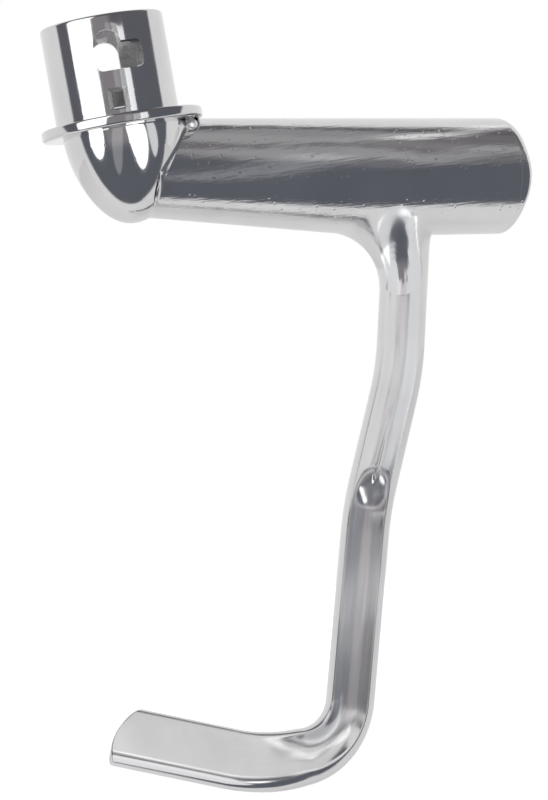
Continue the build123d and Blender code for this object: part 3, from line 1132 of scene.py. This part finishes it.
def mirrored(piece, pixel):
    """Place on a piece at a picture point, and the way that the view is mirrored there."""
    offset = (np.asarray(pixel, float) - PICTURE / 2) / FOCAL_PIXELS
    ray = unit(AWAY + offset[0] * image_right - offset[1] * image_up)
    spot, normal = piece.ray_cast(Vector(camera_place * MM), Vector(ray))[1:3]
    normal = np.array(normal)
    return np.array(spot) / MM, ray - 2 * (ray @ normal) * normal


def mirror_card(name, receivers, pixels, distance, brightness, form="strip"):
    """Card that shows in the first piece between two picture points, and from an upper to a lower one.

    Its form is a strip, an oval, or a tongue: the half of an oval that runs out at the second point.
    """
    spots, ways = zip(*[mirrored(receivers[0], pixel) for pixel in pixels])
    first = spots[0] + ways[0] * distance
    last = spots[1] + ways[1] * distance
    if form == "tongue":
        first = 2 * first - last
    centre = (first + last) / 2
    back = unit(centre - (spots[0] + spots[1]) / 2)
    right = unit((last - first) - back * ((last - first) @ back))
    top = np.cross(back, right)
    heights = []
    for spot, way in zip(spots[2:], ways[2:]):
        reach = ((centre - spot) @ back) / (way @ back)
        heights.append((spot + way * reach - centre) @ top)
    card_lamp(name, receivers, centre + top * np.mean(heights), back, right, (last - first) @ right,
              np.ptp(heights), brightness, "RECTANGLE" if form == "strip" else "ELLIPSE")


def wall_card(name, piece, distance, turns, stations, brightness):
    """Card beside the hook bar's line, between two turns from the camera's way and two stations."""
    turn = np.radians(np.mean(turns))
    out = bar_ahead * np.cos(turn) + bar_aside * np.sin(turn)
    width = 2 * distance * np.tan(np.radians(np.ptp(turns)) / 2)
    centre = shank_head - bar_up * np.mean(stations) + out * distance
    card_lamp(name, [piece], centre, out, np.cross(bar_up, out), width, np.ptp(stations), brightness)


def target_card(name, receivers, azimuths, rises, brightness, target, distance):
    """Card off a target, between two azimuths from the camera's way and two rises, in degrees."""
    turn = np.radians(np.mean(azimuths))
    lift = np.radians(np.mean(rises))
    way = (-AWAY * np.cos(turn) + ACROSS * np.sin(turn)) * np.cos(lift) + UP * np.sin(lift)
    width, tall = [2 * distance * np.tan(np.radians(np.ptp(span)) / 2) for span in (azimuths, rises)]
    card_lamp(name, receivers, target + way * distance, way, np.cross(UP, way), width, tall, brightness)


# Softboxes for the socket and collar: name, azimuths and rises in degrees, brightness
HEAD_CARDS = (
    ("window_left", (-64.0, -18.0), (-24.0, 60.0), 1.6),
    ("window_faint", (8.0, 22.0), (-34.0, 11.0), 0.16),
    ("window_grey", (20.0, 32.0), (-34.0, 11.0), 0.45),
    ("window_right", (30.0, 41.0), (-34.0, 11.0), 1.1),
)
# Reflections on the knuckle, the arm and the scoop: name, picture points in pixels, brightness. The points
# are the start, the end, the upper edge and the lower edge.
KNUCKLE_CARDS = (
    ("knuckle_left", ((96, 137), (99, 160), (89, 141), (104, 141)), 1.6),
    ("knuckle_right", ((138, 132), (146, 174), (129, 140), (149, 140)), 1.6),
    ("knuckle_side", ((153, 132), (156, 158), (149.5, 140), (158, 140)), 0.6),
    ("knuckle_centre", ((117, 140), (119, 180), (112, 150), (123, 150)), 0.15),
)
ARM_CARDS = (
    ("arm_wash", ((186, 152), (388, 141), (285, 122), (285, 170)), 0.07),
    ("arm_upper", ((183, 141), (388, 132.5), (285, 127), (285, 144)), 0.22),
    ("arm_second", ((186, 156), (388, 150), (285, 147), (285, 160)), 0.2),
    ("arm_third", ((186, 181), (350, 156), (250, 166), (250, 177.5)), 0.2),
    ("arm_end_wash", ((398, 148), (512, 136), (455, 126), (455, 168)), 0.07),
    ("arm_glint_start", ((398, 139.5), (424, 136), (411, 134.7), (411, 140.5)), 0.75),
    ("arm_glint_middle", ((424, 136), (456, 133.5), (440, 131.5), (440, 137.5)), 0.7),
    ("arm_glint_end", ((456, 133), (486, 126), (471, 122.5), (471, 134)), 0.5),
    ("arm_band_start", ((398, 160), (436, 158.5), (415, 154.5), (415, 164)), 0.22),
    ("arm_band_middle", ((436, 158), (474, 152.5), (455, 150.5), (455, 160.5)), 0.22),
    ("arm_band_end", ((474, 152), (512, 146), (492, 143.5), (492, 155.5)), 0.22),
)
SCOOP_CARD = ("scoop_glint", ((362, 486), (362, 497), (359.5, 491), (364.5, 491)), 1.6)
# Cards beside the bar: name, piece, turns in degrees, stations below the arm, brightness
WALL_CARDS = (
    ("shank_front", bar, (-30.0, 30.0), (7.0, 27.5), 0.65),
    ("shank_crease", bar, (-6.0, 30.0), (27.5, 34.0), 0.65),
    ("shank_low", bar, (-30.0, 30.0), (34.0, 52.0), 0.65),
    ("shank_right", bar, (30.0, 91.0), (-40.0, 52.0), 0.85),
    ("shank_left", bar, (-93.0, -30.0), (-40.0, 52.0), 0.85),
    ("weld_right_1", hook_fillet, (14.0, 89.5), (-40.0, 24.0), 0.85),
    ("weld_right_2", hook_fillet, (24.0, 89.5), (24.0, 36.0), 0.85),
    ("weld_right_3", hook_fillet, (42.0, 89.5), (36.0, 50.0), 0.85),
    ("weld_right_4", hook_fillet, (57.0, 89.5), (50.0, 80.0), 0.85),
    ("weld_right_5", hook_fillet, (62.0, 80.0), (80.0, 118.0), 0.75),
    ("weld_left_1", hook_fillet, (-87.0, -15.0), (-40.0, 40.0), 0.85),
    ("weld_left_2", hook_fillet, (-87.0, -23.0), (40.0, 105.0), 0.85),
    ("weld_left_3", hook_fillet, (-87.0, -16.0), (105.0, 132.0), 0.85),
    ("weld_left_4", hook_fillet, (-87.0, -4.0), (132.0, 165.0), 0.85),
    ("weld_left_5", hook_fillet, (-87.0, 10.0), (165.0, 195.0), 0.85),
    ("weld_deep", hook_fillet, (-60.0, 80.0), (195.0, 800.0), 0.8),
    ("weld_end", hook_fillet, (-15.0, 14.0), (-40.0, 27.0), 0.57),
    ("weld_end_right", hook_fillet, (7.0, 24.0), (27.0, 38.0), 0.57),
    ("weld_end_left", hook_fillet, (-15.0, -6.0), (27.0, 36.0), 0.57),
)
# Cards before the scoop's trough: the turns of each side, and each row's distance, stations and brightness
TROUGH_SIDES = (("front", (-30.0, 30.0)), ("right", (30.0, 87.0)), ("left", (-90.0, -30.0)))
TROUGH_ROWS = (
    ("trough_top_", WALL_DISTANCE, (62.0, 74.0), 0.22),
    ("trough_middle_", WALL_DISTANCE, (74.0, 90.0), 0.5),
    ("trough_low_", TROUGH_LOW_DISTANCE, (94.0, 112.0), 0.12),
)
# Softboxes and near cards for the bar's bend and foot: name, azimuths, rises, brightness, target, distance
BEND_CARDS = (
    ("foot_panel", (10.0, 90.0), (44.0, 70.0), 0.78, ORIGIN, SOFTBOX_DISTANCE),
    ("bend_panel", (24.0, 68.0), (30.0, 44.0), 0.5, ORIGIN, SOFTBOX_DISTANCE),
    ("bend_inside", (30.0, 70.0), (-15.0, 20.0), 0.5, (CORNER + HEEL) / 2, BEND_DISTANCE),
    ("foot_edge", (-56.0, 16.0), (-50.0, 10.0), 0.95, (HEEL + tip) / 2, FOOT_DISTANCE),
)

bpy.context.view_layer.update()
for name, azimuths, rises, brightness in HEAD_CARDS:
    target_card(name, [socket, collar_ring], azimuths, rises, brightness, ORIGIN, SOFTBOX_DISTANCE)
for name, pixels, brightness in KNUCKLE_CARDS:
    mirror_card(name, [nose, seam], pixels, KNUCKLE_DISTANCE, brightness, "tongue")
for name, pixels, brightness in ARM_CARDS:
    mirror_card(name, [arm, arm_cap], pixels, ARM_DISTANCE, brightness)
for name, piece, turns, stations, brightness in WALL_CARDS:
    wall_card(name, piece, WALL_DISTANCE, turns, stations, brightness)
for side, turns in TROUGH_SIDES:
    for name, distance, stations, brightness in TROUGH_ROWS:
        wall_card(name + side, bar, distance, turns, stations, brightness)
for name, azimuths, rises, brightness, target, distance in BEND_CARDS:
    target_card(name, [bar], azimuths, rises, brightness, target, distance)
name, pixels, brightness = SCOOP_CARD
mirror_card(name, [bar], pixels, GLINT_DISTANCE, brightness, "oval")
